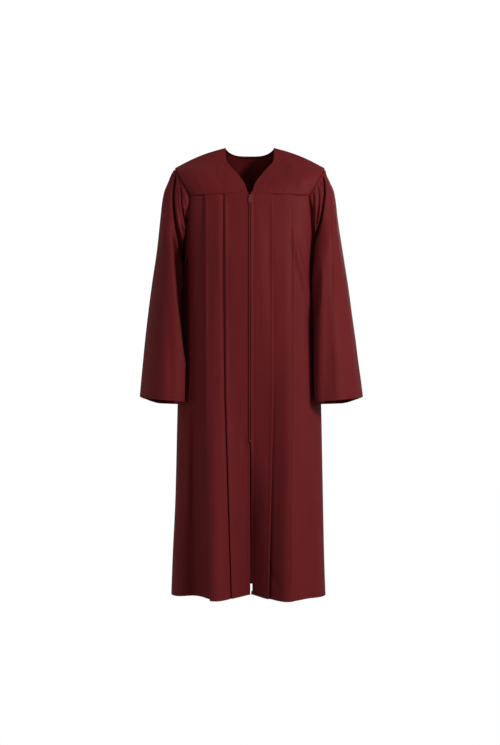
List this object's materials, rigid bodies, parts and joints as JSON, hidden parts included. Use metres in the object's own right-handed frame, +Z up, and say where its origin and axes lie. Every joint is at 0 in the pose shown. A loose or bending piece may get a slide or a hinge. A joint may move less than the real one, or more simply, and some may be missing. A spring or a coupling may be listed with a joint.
{
  "type": "choir robe",
  "caption": "Full-length hollow choir robe as worn, with V neck, yokes, knife pleats, bell sleeves and a centre-front zip whose pull tab swings.",
  "frame": {"origin": "between the wearer's shoulders at the height of the neck, where the wearer holds the robe up; mount wearer_shoulders", "axes": "+Z up, the front faces -Y, +X towards the wearer's left"},
  "size_m": [0.5802, 0.321, 1.1592],
  "materials": {
    "robe_cloth": "matt plain-woven polyester, maroon, with a soft sheen",
    "zip_tape": "matt woven tape, dark maroon",
    "zip_coil": "satin nylon, dark maroon",
    "zip_paint": "glossy enamel, maroon"
  },
  "bodies": {
    "robe": {"yoke_front_R": "robe_cloth", "yoke_front_L": "robe_cloth", "yoke_back": "robe_cloth", "front_R": "robe_cloth", "front_L": "robe_cloth", "back_panel": "robe_cloth", "sleeve_R": "robe_cloth", "sleeve_L": "robe_cloth", "zip_tape_R": "zip_tape", "zip_tape_L": "zip_tape", "zip_chain": "zip_coil", "zip_stop": "zip_coil", "zip_slider": "zip_paint"},
    "pull_tab": {"zip_pull": "zip_paint"}
  },
  "joints": [
    {"name": "pull_tab_swing", "type": "hinge", "parent": "robe", "child": "pull_tab", "pos_m": [0, -0.09223, -0.12792], "axis": [-1, 0, 0], "range_deg": [0, 160]}
  ]
}
